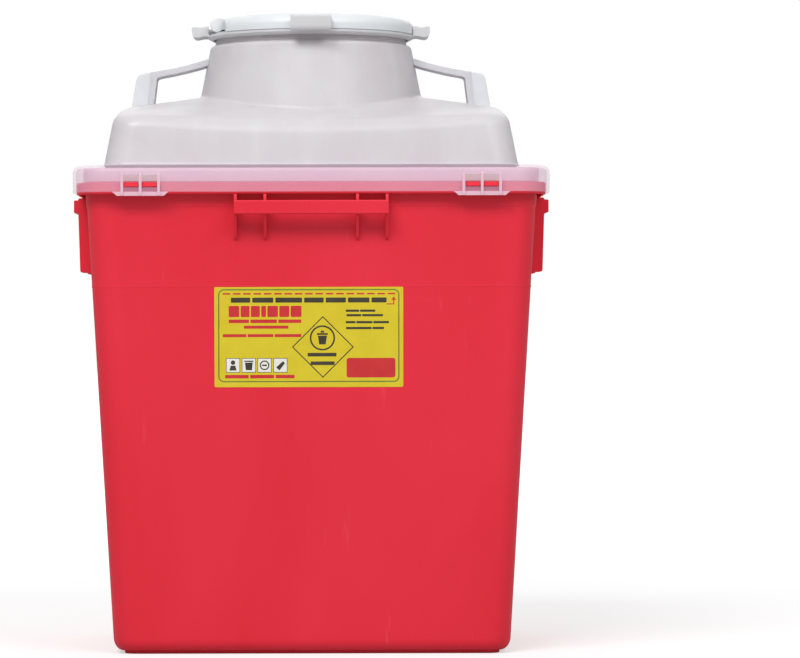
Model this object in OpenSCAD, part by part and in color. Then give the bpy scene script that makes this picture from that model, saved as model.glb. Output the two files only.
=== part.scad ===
// Upright sharps container: a red rectangular tub, a translucent clip-on lid with
// a raised dome and a wide round neck, a turning closure ring and a hinged flip cap.
// Millimetres, +Z up. The origin is at the middle of the footprint, on the floor.
// The front, which carries the label, faces -Y.

/* [Tub] */
// Half width of the outer wall, taken down to floor level
base_half_width = 132.2; // [120:0.1:145]
// Half depth of the outer wall, taken down to floor level
base_half_depth = 104.6; // [95:0.1:115]
// How far each wall leans out per millimetre of height
wall_lean = 0.0562; // [0.04:0.0001:0.07]
// Thickness of the tub's walls and floor
wall = 2.2; // [1.8:0.1:3]
// Plan radius of the tub's corners
corner_r = 15; // [12:0.5:18]
// Height of the foot ring under the floor
foot_h = 2; // [1:0.5:3]
// Height of the top of the rim
rim_top = 313.5; // [313:0.1:314]

/* [Lid] */
// Half width of the outside of the skirt
skirt_half_width = 158.5; // [158.5:0.1:160]
// Thickness of the lid's walls
lid_wall = 2; // [1.6:0.1:2.2]
// Height of the flat shelf around the dome
shelf_top = 324.7; // [324:0.1:326]
// Half width of the dome where it leaves the shelf
dome_half_width = 138.5; // [130:0.1:140]
// Height of the roof's ridge beside the neck
ridge_z = 376; // [374:0.5:378]
// Height of the roof along its front and rear edges
eave_z = 358; // [356:0.5:362]
// Depth of the two carrying handles, front to back
handle_depth = 26; // [20:1:34]

/* [Neck and closure] */
// Outer radius of the neck at its shoulder
shoulder_r = 69.5; // [69:0.1:70]
// Height of the neck's shoulder
shoulder_z = 411.5; // [411:0.1:412]
// Outer radius of the cap's side band
cap_r = 71.1; // [71:0.1:71.4]
// Overall height of the closed container
total_h = 430; // [429.9:0.1:430.5]
// How far the finger lugs reach from the neck's axis
lug_reach = 82; // [78:0.5:86]
// Width of each finger lug
lug_width = 27.5; // [20:0.5:32]

/* [Label] */
// Width of the label
label_width = 125; // [80:1:150]
// Height of the label
label_height = 67; // [40:1:80]

/* [Hidden] */

arc_steps = 6;             // chords in a quarter turn of a rounded corner
clear = 0.3;               // gap between parts that move past each other

// Tub
edge_in = 6;               // how far the rounded bottom edge comes in
edge_up = 8;               // and how far up it starts
foot_width = 4;
rim_half_width = 155.7;
rim_half_depth = rim_half_width - base_half_width + base_half_depth;
rim_r = 21;
rim_t = 2.4;               // thickness of the rim's flange
lip_t = 2;                 // thickness of the rim's turned-down lip
lip_bottom = 305.5;
grip_bottom = 291.9;       // front and rear bars
grip_top = 301.2;
grip_half = 51;
grip_face = 134;           // front face of the front bar, from the middle plane
grip_t = 2.5;
rib_t = 2;
rib_at = [-50, -30.5, 30.5, 50];
rib_head = 130;            // how far out the front ribs reach where they meet the lip
rib_foot = 276;            // height where the front ribs run out into the wall
side_bar_face = 161.1;     // outer face of the side bars
side_bar_bottom = 295.2;
side_bar_top = 304;
wing_foot = 255;           // height where the side wings end
wing_at = [-51, -30.5, 30.5, 51];
wing_edge_low = 156.9;
wing_edge_high = 158.1;
wing_head = 157.4;         // how far out the side wings reach where they meet the lip
label_t = 0.3;
label_x = -1.8;
label_mid = 211.3;         // height of the label's middle

// Snap clips: each pairs two windows in the lid with two hooks on the rim
clip_x = 112.6;            // middle of each clip
clip_half_low = 15.5;
clip_half_high = 18.4;
clip_bottom = 304.2;
clip_top = 318.5;
window_off = 6.05;         // middle of each window from the middle of the clip
window_w = 10;
window_bottom = 309.9;
window_top = 318;
hook_top = 313.3;
clip_rib_off = 12.1;
clip_rib_w = 2.2;
clip_rib_out = 0.8;
clip_rib_top = 319.5;

// Lid
skirt_half_depth = skirt_half_width - base_half_width + base_half_depth;
skirt_r = 23.8;
skirt_bottom = 306.9;
skirt_round = 5;           // rounding where the skirt turns into the shelf
shelf_bottom = shelf_top - 1.8;
seat_half_width = 151.3;
seat_r = 16.6;
plug_half_width = 145.9;
plug_bottom = 300;
plug_r = 12;
dome_half_depth = dome_half_width - base_half_width + base_half_depth + 0.1;
dome_lean = 0.189;         // how far the dome's walls come in per millimetre
dome_r = 18;
roof_half_x = 128;
roof_half_y = 99;
side_points = 3;           // extra points along each side of the dome's rings
eave_round = 7;            // rounding between the dome's walls and its roof
ridge_fall = 7.4 / 52;     // fall of the ridge beyond the neck
neck_foot_r = 76.2;
neck_lean = (neck_foot_r - shoulder_r) / 33.4;
neck_base = 340;           // the neck's cone is drawn from here and trimmed by the roof
neck_edge = 409;           // where the cone starts to round into the shoulder
spigot_r = 65.5;
spigot_bore = 63.3;
spigot_top = 418.2;
bead_z = 413.2;
lock_r = 66.6;             // outer radius of the four locking beads
lock_low = 416.6;
lock_high = 417.9;
lock_angle = 30;
handle_inner = 106.2;
handle_outer = 123;
handle_t = 4.5;
flange_t = 4.1;            // the post's thick inner flange
web_t = 1.8;

// Closure ring and cap
ring_low = 415.4;
ring_bore = 67;
ring_top = 419.8;
ring_flange_z = 418.7;
ring_flange_low = 417.1;
ring_wall_r = 68.6;
mouth_r = 59.2;
web_low = 418.5;
band_t = 2;
band_low = 419;
cap_round = 7.5;
cap_plate = 2;
hinge_x = -64.2;
hinge_z = 425;
barrel_r = 4.9;
barrel_half = 24;
middle_half = 9;           // half length of the ring's middle knuckle
pin_r = 1.75;
pin_fit = 0.05;
pin_half = 23;
chord_x = -58.5;           // the disc is cut straight here, beside the hinge
plug_outer = 58.6;
plug_inner = 57;
plug_low = 420.5;

function half_w(z) = base_half_width + wall_lean * z;
function half_d(z) = base_half_depth + wall_lean * z;
function arc(cx, cy, r, from) = [
    for (i = [0:arc_steps]) let (a = from + 90 * i / arc_steps) [cx + r * cos(a), cy + r * sin(a)]
];
function between(a, b, count) = [for (i = [1:1:count]) a + (b - a) * i / (count + 1)];
// Outline of a rounded rectangle, with extra points along each straight side
function rounded(hw, hd, r, extra = 0) =
    let (corners = [
        arc(hw - r, hd - r, r, 0),
        arc(r - hw, hd - r, r, 90),
        arc(r - hw, r - hd, r, 180),
        arc(hw - r, r - hd, r, 270)
    ])
    [for (k = [0:3]) each concat(corners[k], between(corners[k][arc_steps], corners[(k + 1) % 4][0], extra))];
function at_height(outline, z) = [for (p = outline) [p.x, p.y, z]];
function level(hw, hd, r, z) = at_height(rounded(hw, hd, r), z);
function ridge(x) = ridge_z - max(0, abs(x) - neck_foot_r) * ridge_fall;
function roof(x, y) = ridge(x) - (ridge(x) - eave_z) * pow(y / 105, 2);

// A rounded rectangular block between two heights
module block(hw, hd, r, z0, z1) {
    translate([0, 0, z0]) linear_extrude(z1 - z0) polygon(rounded(hw, hd, r));
}

// A closed solid through a stack of rings that all have the same number of points.
// The first and last rings are level, and each is closed by a fan about the middle.
module loft(rings) {
    n = len(rings[0]);
    last = len(rings) - 1;
    low_mid = n * (last + 1);
    polyhedron(
        points = concat(
            [for (ring = rings) each ring],
            [[0, 0, rings[0][0].z], [0, 0, rings[last][0].z]]
        ),
        faces = [for (i = [0:n - 1])
            let (j = (i + 1) % n)
            each concat(
                [[low_mid, i, j], [low_mid + 1, last * n + j, last * n + i]],
                [for (k = [0:last - 1])
                    let (low = k * n, high = low + n)
                    each [[low + i, high + i, high + j], [low + i, high + j, low + j]]]
            )],
        convexity = 4
    );
}

// A band that follows a rounded rectangle
module frame(hw, hd, r, t, z0, z1) {
    difference() {
        block(hw, hd, r, z0, z1);
        block(hw - t, hd - t, r - t, z0 - 1, z1 + 1);
    }
}

// The tub's leaning form, with its rounded bottom edge, brought in by t on every side
module tub_form(t, bottom, top) {
    low = bottom + edge_up / 3;
    high = bottom + edge_up;
    loft([
        level(half_w(bottom) - t - edge_in, half_d(bottom) - t - edge_in, corner_r - t - 3, bottom),
        level(half_w(low) - t - edge_in / 3, half_d(low) - t - edge_in / 3, corner_r - t - 1, low),
        level(half_w(high) - t, half_d(high) - t, corner_r - t, high),
        level(half_w(top) - t, half_d(top) - t, corner_r - t, top)
    ]);
}

module tub_outside() {
    tub_form(0, foot_h, rim_top);
}

// The dome's walls at height z, brought in by t
function dome_wall(z, t) =
    let (e = dome_lean * (z - shelf_top) + t)
    rounded(dome_half_width - e, dome_half_depth - e, dome_r - t, side_points);
function roof_edge(s, t) = rounded(s * roof_half_x, s * roof_half_y, s * (dome_r - 4), side_points);
// A ring on the walls that keeps a given drop below the roof's edge
function under_eave(drop, t) = [
    for (i = [0:len(roof_edge(1, t)) - 1])
        let (q = roof_edge(1, t)[i], z = roof(q.x, q.y) - drop, p = dome_wall(z, t)[i]) [p.x, p.y, z]
];
function on_roof(s, t) = [for (q = roof_edge(s, t)) [q.x, q.y, roof(q.x, q.y) - t]];

// The dome's form: leaning walls and a cambered roof, brought in by t on every side
module dome_form(t, bottom) {
    loft([
        at_height(dome_wall(bottom, t), bottom),
        under_eave(eave_round + t / 2, t),
        under_eave(eave_round / 3, t + eave_round / 4),
        on_roof(1, t),
        on_roof(0.8, t),
        on_roof(0.6, t),
        at_height(roof_edge(0.3, t), ridge_z - t)
    ]);
}

// The neck's cone as a solid, brought in by t
module neck_solid(t) {
    foot = neck_foot_r + neck_lean * (ridge_z - neck_base);
    rotate_extrude($fn = 128)
        polygon([[0, neck_base], [foot - t, neck_base], [shoulder_r - t, neck_edge], [0, neck_edge]]);
}

// ---- Tub ----

module tub_shell() {
    color("crimson") difference() {
        tub_outside();
        tub_form(wall, foot_h + wall, rim_top + 2);
    }
}

module foot_ring() {
    inset = edge_in + 1;
    color("crimson")
        frame(half_w(foot_h) - inset, half_d(foot_h) - inset, corner_r - 4, foot_width, 0, foot_h);
}

module tub_rim() {
    color("crimson") difference() {
        block(rim_half_width, rim_half_depth, rim_r, lip_bottom, rim_top);
        block(rim_half_width - lip_t, rim_half_depth - lip_t, rim_r - lip_t, lip_bottom - 1, rim_top - rim_t);
        tub_outside();
        block(half_w(rim_top) - 1, half_d(rim_top) - 1, corner_r, lip_bottom, rim_top + 1);
    }
}

// Hooks on the rim's front lip, one for each window in the lid's clips
module rim_hooks() {
    out = skirt_half_depth + clear;
    back = rim_half_depth;
    color("crimson")
        for (clip = [-clip_x, clip_x])
            for (off = [-window_off, window_off])
                translate([clip + off + window_w / 2 - clear, 0, 0])
                    rotate([0, -90, 0])
                        linear_extrude(window_w - 2 * clear)
                            polygon([
                                [window_bottom + clear, -back],
                                [window_bottom + clear, -out],
                                [window_bottom + 1.3, -out],
                                [hook_top, -back]
                            ]);
}

module rim_hooks_front() {
    rim_hooks();
}

module rim_hooks_rear() {
    rotate(180) rim_hooks();
}

// Bar that stands off the front wall, so that fingers go behind it
module grip_bar() {
    color("crimson")
        translate([-grip_half, -grip_face, grip_bottom])
            cube([2 * grip_half, grip_t, grip_top - grip_bottom]);
}

module grip_ribs() {
    back = grip_face - grip_t;
    inside_lip = rim_half_depth - lip_t;
    color("crimson") difference() {
        for (x = rib_at)
            translate([x + rib_t / 2, 0, 0])
                rotate([0, -90, 0])
                    linear_extrude(rib_t)
                        polygon([
                            [rib_foot, -half_d(rib_foot) + 1],
                            [rib_foot, -half_d(rib_foot) - 2.5],
                            [grip_bottom - 2, -back],
                            [grip_top, -back],
                            [lip_bottom, -rib_head],
                            [lip_bottom, -inside_lip],
                            [rim_top - rim_t, -inside_lip],
                            [rim_top - rim_t, -half_d(rim_top) + 1]
                        ]);
        tub_outside();
    }
}

module front_grip_bar() {
    grip_bar();
}

module front_grip_ribs() {
    grip_ribs();
}

module rear_grip_bar() {
    rotate(180) grip_bar();
}

module rear_grip_ribs() {
    rotate(180) grip_ribs();
}

module side_bar() {
    color("crimson")
        translate([side_bar_face - grip_t, wing_at[0] - rib_t / 2, side_bar_bottom])
            cube([grip_t, 2 * wing_at[3] + rib_t, side_bar_top - side_bar_bottom]);
}

module side_wings() {
    back = side_bar_face - grip_t;
    inside_lip = rim_half_width - lip_t;
    color("crimson") difference() {
        for (y = wing_at)
            translate([0, y + rib_t / 2, 0])
                rotate([90, 0, 0])
                    linear_extrude(rib_t)
                        polygon([
                            [half_w(wing_foot) - 1, wing_foot],
                            [wing_edge_low - 1, wing_foot],
                            [wing_edge_low, wing_foot + 1],
                            [wing_edge_high, side_bar_bottom],
                            [back, side_bar_bottom],
                            [back, side_bar_top],
                            [wing_edge_high, side_bar_top],
                            [wing_head, lip_bottom],
                            [inside_lip, lip_bottom],
                            [inside_lip, rim_top - rim_t],
                            [half_w(rim_top) - 1, rim_top - rim_t]
                        ]);
        tub_outside();
    }
}

module right_grip_bar() {
    side_bar();
}

module right_grip_wings() {
    side_wings();
}

module left_grip_bar() {
    rotate(180) side_bar();
}

module left_grip_wings() {
    rotate(180) side_wings();
}

// The label leans with the wall that it is stuck to
module label() {
    color("gold")
        translate([label_x, -half_d(label_mid), label_mid])
            rotate([atan(wall_lean), 0, 0])
                translate([-label_width / 2, -label_t, -label_height / 2])
                    cube([label_width, label_t, label_height]);
}

// ---- Lid ----

// Outline of a snap clip, seen from the front, with its lower corners cut off
module clip_outline() {
    polygon([
        [-clip_half_low, clip_bottom],
        [clip_half_low, clip_bottom],
        [clip_half_high, skirt_bottom],
        [clip_half_high, clip_top],
        [-clip_half_high, clip_top],
        [-clip_half_high, skirt_bottom]
    ]);
}

// Plates of the clip's outline, depth thick, whose outer faces stand front from the middle
module clip_blanks(front, depth) {
    for (x = [-clip_x, clip_x])
        translate([x, -front + depth, 0]) rotate([90, 0, 0]) linear_extrude(depth) clip_outline();
}

module lid_skirt() {
    t = lid_wall;
    w = skirt_half_width;
    d = skirt_half_depth;
    r = skirt_round;
    hole_w = dome_half_width + dome_lean * (shelf_top - shelf_bottom);
    hole_d = dome_half_depth + dome_lean * (shelf_top - shelf_bottom);
    color("gainsboro") difference() {
        loft([
            level(w, d, skirt_r, skirt_bottom),
            level(w, d, skirt_r, shelf_top - r),
            level(w - 0.3 * r, d - 0.3 * r, skirt_r - 0.3 * r, shelf_top - 0.3 * r),
            level(w - r, d - r, skirt_r - r, shelf_top)
        ]);
        loft([
            level(w - t, d - t, skirt_r - t, skirt_bottom - 1),
            level(w - t, d - t, skirt_r - t, shelf_bottom - 0.6 * r),
            level(w - t - 0.6 * r, d - t - 0.6 * r, skirt_r - t - 0.6 * r, shelf_bottom)
        ]);
        block(hole_w, hole_d, dome_r, shelf_bottom - 1, shelf_top + 1);
        clip_blanks(d + 1, 2 * t);
        rotate(180) clip_blanks(d + 1, 2 * t);
    }
}

// One side's two clips: a tongue with two windows and three upright ribs each
module snap_clips() {
    t = lid_wall;
    d = skirt_half_depth;
    color("gainsboro") {
        difference() {
            clip_blanks(d, t);
            for (clip = [-clip_x, clip_x])
                for (off = [-window_off, window_off])
                    translate([clip + off - window_w / 2, -d - 1, window_bottom])
                        cube([window_w, 2 * t, window_top - window_bottom]);
        }
        for (clip = [-clip_x, clip_x])
            for (off = [-clip_rib_off, 0, clip_rib_off])
                translate([clip + off - clip_rib_w / 2, -d - clip_rib_out, clip_bottom])
                    cube([clip_rib_w, clip_rib_out, clip_rib_top - clip_bottom]);
    }
}

module snap_clips_front() {
    snap_clips();
}

module snap_clips_rear() {
    rotate(180) snap_clips();
}

// Inner wall of the channel, which sits on the tub's rim
module lid_seat_ring() {
    seat_half_depth = seat_half_width - base_half_width + base_half_depth;
    color("gainsboro")
        frame(seat_half_width, seat_half_depth, seat_r, lid_wall, rim_top + clear, shelf_bottom);
}

// Lip that plugs into the tub's mouth
module lid_plug_lip() {
    plug_half_depth = plug_half_width - base_half_width + base_half_depth;
    color("gainsboro")
        frame(plug_half_width, plug_half_depth, plug_r, lid_wall, plug_bottom, shelf_bottom);
}

module lid_dome() {
    color("gainsboro") difference() {
        dome_form(0, shelf_bottom);
        dome_form(lid_wall, shelf_bottom - 1);
        neck_solid(0);
    }
}

// Stiffening rib inside the dome, under the foot of a handle's post
module dome_rib() {
    color("gainsboro") intersection() {
        translate([handle_inner, -handle_depth / 2, eave_z - 10]) cube([2, handle_depth, 40]);
        dome_form(lid_wall, shelf_bottom);
    }
}

module dome_rib_left() {
    rotate(180) dome_rib();
}

module dome_rib_right() {
    dome_rib();
}

module neck_cone() {
    round_r = shoulder_z - neck_edge;
    color("gainsboro") {
        difference() {
            neck_solid(0);
            neck_solid(lid_wall + 0.01);
            dome_form(lid_wall, shelf_bottom);
        }
        rotate_extrude($fn = 128)
            polygon([
                [shoulder_r - lid_wall - 0.01, neck_edge],
                [shoulder_r, neck_edge],
                [shoulder_r - 0.3 * round_r, neck_edge + 0.7 * round_r],
                [shoulder_r - round_r, shoulder_z],
                [spigot_bore, shoulder_z],
                [spigot_bore, neck_edge]
            ]);
    }
}

module neck_spigot() {
    color("gainsboro") {
        difference() {
            translate([0, 0, shoulder_z]) cylinder(r = spigot_r, h = spigot_top - shoulder_z, $fn = 128);
            translate([0, 0, shoulder_z - 1]) cylinder(r = spigot_bore, h = 20, $fn = 128);
        }
        for (a = [45:90:315])
            rotate(a - lock_angle / 2)
                rotate_extrude(angle = lock_angle, $fn = 128)
                    polygon([
                        [spigot_r, lock_low],
                        [lock_r, lock_low],
                        [lock_r, lock_high - 0.4],
                        [spigot_r, lock_high]
                    ]);
    }
}

// Low bead around the spigot, seen between the shoulder and the closure ring
module neck_bead() {
    color("gainsboro") rotate_extrude($fn = 128)
        polygon([
            [spigot_r, bead_z - 0.7],
            [spigot_r + 0.6, bead_z - 0.3],
            [spigot_r + 0.6, bead_z + 0.3],
            [spigot_r, bead_z + 0.7]
        ]);
}

// Extrudes an outline drawn in X and Z across the depth of a handle
module across(depth) {
    translate([0, depth / 2, 0]) rotate([90, 0, 0]) linear_extrude(depth) children();
}

module handle_bar() {
    t = handle_t;
    color("gainsboro") difference() {
        across(handle_depth) polygon([
            [66, 404],
            [71.6, 402.4],
            [82, 399.3],
            [94, 396.4],
            [handle_inner, 394.2],
            [handle_inner, 394.2 - t],
            [94, 396.4 - t],
            [82, 399.3 - t],
            [71.6, 402.4 - t],
            [66, 404 - t]
        ]);
        neck_solid(0);
    }
}

// The post is a box: a thick inner flange, two webs and an outer wall
module handle_post() {
    top = 394.2;
    foot = 350;
    color("gainsboro") difference() {
        across(handle_depth) polygon([
            [handle_inner, top],
            [114.5, 392.8],
            [117.5, 391.4],
            [120, 388.6],
            [handle_outer, 372],
            [handle_outer + 1, foot],
            [108.6, foot],
            [108.3, 371.3],
            [handle_inner, 389.7]
        ]);
        across(handle_depth - 2 * web_t) polygon([
            [handle_inner + flange_t, top - handle_t],
            [116.2, 388.6],
            [118.2, 387],
            [handle_outer - 1.9, 372],
            [handle_outer - 1, foot - 1],
            [109 + flange_t, foot - 1],
            [108.3 + flange_t, 371.3]
        ]);
        dome_form(0, shelf_bottom);
    }
}

module handle_left_bar() {
    rotate(180) handle_bar();
}

module handle_left_post() {
    rotate(180) handle_post();
}

module handle_right_bar() {
    handle_bar();
}

module handle_right_post() {
    handle_post();
}

// ---- Closure ring: sits over the spigot, locks under its beads and carries the cap ----

module ring_form() {
    rotate_extrude($fn = 128)
        polygon([
            [ring_bore, ring_low],
            [ring_bore + 1, ring_low],
            [cap_r, ring_flange_low],
            [cap_r, ring_flange_z],
            [ring_wall_r, ring_flange_z],
            [ring_wall_r, ring_top],
            [mouth_r, ring_top],
            [mouth_r, web_low],
            [ring_bore, web_low]
        ]);
}

module closure_ring() {
    color("silver") {
        ring_form();
        for (a = [45:90:315])
            rotate(a - lock_angle / 2)
                rotate_extrude(angle = lock_angle, $fn = 128)
                    polygon([
                        [spigot_r + clear, ring_low],
                        [ring_bore + 0.5, ring_low],
                        [ring_bore + 0.5, lock_low - clear],
                        [spigot_r + clear, lock_low - clear]
                    ]);
    }
}

// A finger lug that flares towards its tip; top_z is the height of its upper face
module finger_lug(top_z) {
    out = lug_reach;
    gap_r = cap_r + 0.4;
    color("silver") difference() {
        across(lug_width) polygon([
            [67, ring_flange_low + 0.5],
            [73, ring_flange_low + 0.9],
            [out - 4.5, 417],
            [out - 2.6, 417],
            [out - 0.9, 418.2],
            [out - 0.1, 420.5],
            [out, top_z - 1],
            [out - 0.8, top_z - 0.6],
            [72, top_z],
            [67, top_z]
        ]);
        rotate_extrude($fn = 128)
            polygon([
                [0, ring_low],
                [ring_bore + 1, ring_low],
                [cap_r, ring_flange_low],
                [cap_r, ring_flange_z],
                [gap_r, ring_flange_z],
                [gap_r, total_h],
                [0, total_h]
            ]);
    }
}

module ring_lug_right() {
    finger_lug(426.1);
}

module ring_lug_left() {
    rotate(180) finger_lug(426.1);
}

module ring_lug_front() {
    rotate(-90) finger_lug(428.4);
}

module ring_lug_rear() {
    rotate(90) finger_lug(428.4);
}

// A length of hinge barrel along Y, between two places
module barrel(y0, y1, r) {
    translate([hinge_x, y1, hinge_z]) rotate([90, 0, 0]) cylinder(r = r, h = y1 - y0, $fn = 64);
}

module ring_hinge_knuckle() {
    m = middle_half;
    color("silver") difference() {
        union() {
            barrel(-m, m, barrel_r);
            translate([hinge_x - barrel_r, -m, ring_top]) cube([2 * barrel_r, 2 * m, hinge_z - ring_top]);
        }
        barrel(-m - 1, m + 1, pin_r + pin_fit);
    }
}

// ---- Flip cap ----

module flip_cap() {
    top = total_h;
    color("white") difference() {
        rotate_extrude($fn = 128)
            polygon(concat(
                [[cap_r - band_t, band_low], [cap_r, band_low]],
                arc(cap_r - cap_round, top - cap_round, cap_round, 0),
                [[0, top], [0, top - cap_plate], [cap_r - cap_round, top - cap_plate]],
                [[cap_r - band_t - 1.6, top - cap_plate - 1.9], [cap_r - band_t, top - cap_round]]
            ));
        translate([chord_x - 30, -80, 400]) cube([30, 160, 40]);
    }
}

// Ring under the cap that plugs the mouth
module cap_plug_ring() {
    color("white") difference() {
        translate([0, 0, plug_low]) cylinder(r = plug_outer, h = total_h - cap_plate - plug_low, $fn = 128);
        translate([0, 0, plug_low - 1]) cylinder(r = plug_inner, h = 20, $fn = 128);
        translate([chord_x - 30, -80, 400]) cube([30, 160, 40]);
    }
}

// Two outer knuckles, each with an arm to the disc
module cap_knuckles() {
    inner = middle_half + clear;
    arm_low = hinge_z - 3.5;
    color("white")
        for (side = [-1, 1])
            difference() {
                union() {
                    if (side > 0) barrel(inner, barrel_half, barrel_r);
                    if (side < 0) barrel(-barrel_half, -inner, barrel_r);
                    translate([hinge_x, side > 0 ? inner : -barrel_half, arm_low])
                        cube([8, barrel_half - inner, total_h - cap_plate - arm_low]);
                }
                barrel(-barrel_half - 1, barrel_half + 1, pin_r);
                cylinder(r = plug_outer, h = total_h, $fn = 128);
            }
}

// Pin moulded on the outer knuckles; it turns in the ring's middle knuckle
module cap_hinge_pin() {
    color("white") barrel(-pin_half, pin_half, pin_r);
}

tub_shell();
foot_ring();
tub_rim();
rim_hooks_front();
rim_hooks_rear();
front_grip_bar();
front_grip_ribs();
rear_grip_bar();
rear_grip_ribs();
left_grip_bar();
left_grip_wings();
right_grip_bar();
right_grip_wings();
label();
lid_skirt();
snap_clips_front();
snap_clips_rear();
lid_seat_ring();
lid_plug_lip();
lid_dome();
dome_rib_left();
dome_rib_right();
neck_cone();
neck_spigot();
neck_bead();
handle_left_bar();
handle_left_post();
handle_right_bar();
handle_right_post();
closure_ring();
ring_lug_left();
ring_lug_right();
ring_lug_front();
ring_lug_rear();
ring_hinge_knuckle();
flip_cap();
cap_plug_ring();
cap_knuckles();
cap_hinge_pin();
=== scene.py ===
import math
import random

import bmesh
import bpy
from mathutils import Matrix, Vector


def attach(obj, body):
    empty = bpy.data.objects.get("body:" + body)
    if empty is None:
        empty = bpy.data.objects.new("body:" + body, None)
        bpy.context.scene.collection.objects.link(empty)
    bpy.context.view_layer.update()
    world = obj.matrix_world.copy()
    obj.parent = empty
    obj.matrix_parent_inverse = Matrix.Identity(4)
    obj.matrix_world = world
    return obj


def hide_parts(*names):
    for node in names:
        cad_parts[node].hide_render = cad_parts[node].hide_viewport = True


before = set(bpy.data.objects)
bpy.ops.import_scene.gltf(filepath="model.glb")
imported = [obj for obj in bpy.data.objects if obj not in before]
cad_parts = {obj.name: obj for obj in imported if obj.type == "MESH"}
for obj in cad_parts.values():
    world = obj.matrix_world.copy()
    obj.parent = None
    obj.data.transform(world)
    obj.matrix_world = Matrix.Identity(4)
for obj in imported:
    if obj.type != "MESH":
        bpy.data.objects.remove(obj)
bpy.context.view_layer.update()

scene = bpy.context.scene

# ---------------------------------------------------------------- camera and light


def make_camera():
    """A long lens from low in front, square to the object, with a very slight roll."""
    camera = bpy.data.objects.new("camera", bpy.data.cameras.new("camera"))
    scene.collection.objects.link(camera)
    scene.camera = camera
    camera.location = (0, -2.7, 0.215)
    camera.rotation_euler = (math.radians(90), math.radians(0.12), 0)
    camera.data.lens = 175.6
    camera.data.sensor_width = 36
    camera.data.shift_x = 0.1106
    camera.data.shift_y = 0.0025
    camera.data.clip_end = 100


def area_light(name, place, aim, size, power):
    data = bpy.data.lights.new(name, "AREA")
    data.shape = "RECTANGLE"
    data.size, data.size_y = size
    data.energy = power
    light = bpy.data.objects.new(name, data)
    scene.collection.objects.link(light)
    light.location = place
    light.rotation_euler = (Vector(aim) - Vector(place)).to_track_quat("-Z", "Y").to_euler()


def make_world():
    """White as the camera sees it, and a softer light on everything else."""
    world = bpy.data.worlds.new("studio")
    scene.world = world
    world.use_nodes = True
    tree = world.node_tree
    tree.nodes.clear()
    mix = tree.nodes.new("ShaderNodeMixShader")
    path = tree.nodes.new("ShaderNodeLightPath")
    out = tree.nodes.new("ShaderNodeOutputWorld")
    for slot, strength in ((1, 0.45), (2, 1.0)):
        sky = tree.nodes.new("ShaderNodeBackground")
        sky.inputs["Color"].default_value = (1, 1, 1, 1)
        sky.inputs["Strength"].default_value = strength
        tree.links.new(sky.outputs[0], mix.inputs[slot])
    tree.links.new(path.outputs["Is Camera Ray"], mix.inputs["Fac"])
    tree.links.new(mix.outputs[0], out.inputs["Surface"])


make_camera()
scene.view_settings.view_transform = "Standard"
scene.view_settings.look = "None"
area_light("key", (-1.0, -2.2, 2.7), (0, 0, 0.2), (1.6, 1.0), 62)
area_light("fill", (1.5, -2.2, 2.4), (0, 0, 0.2), (1.6, 1.0), 28)
area_light("top", (0, 0.2, 2.6), (0, 0, 0.3), (2.0, 1.6), 1)
area_light("back", (0, 2.4, 1.6), (0, 0, 0.3), (2.4, 1.4), 12)
make_world()

# ---------------------------------------------------------------- materials


def srgb(*levels):
    """A linear colour, with alpha 1, from three display levels of 0 to 255."""
    parts = [level / 255 for level in levels]
    return tuple(p / 12.92 if p <= 0.04045 else ((p + 0.055) / 1.055) ** 2.4 for p in parts) + (1,)


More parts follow.
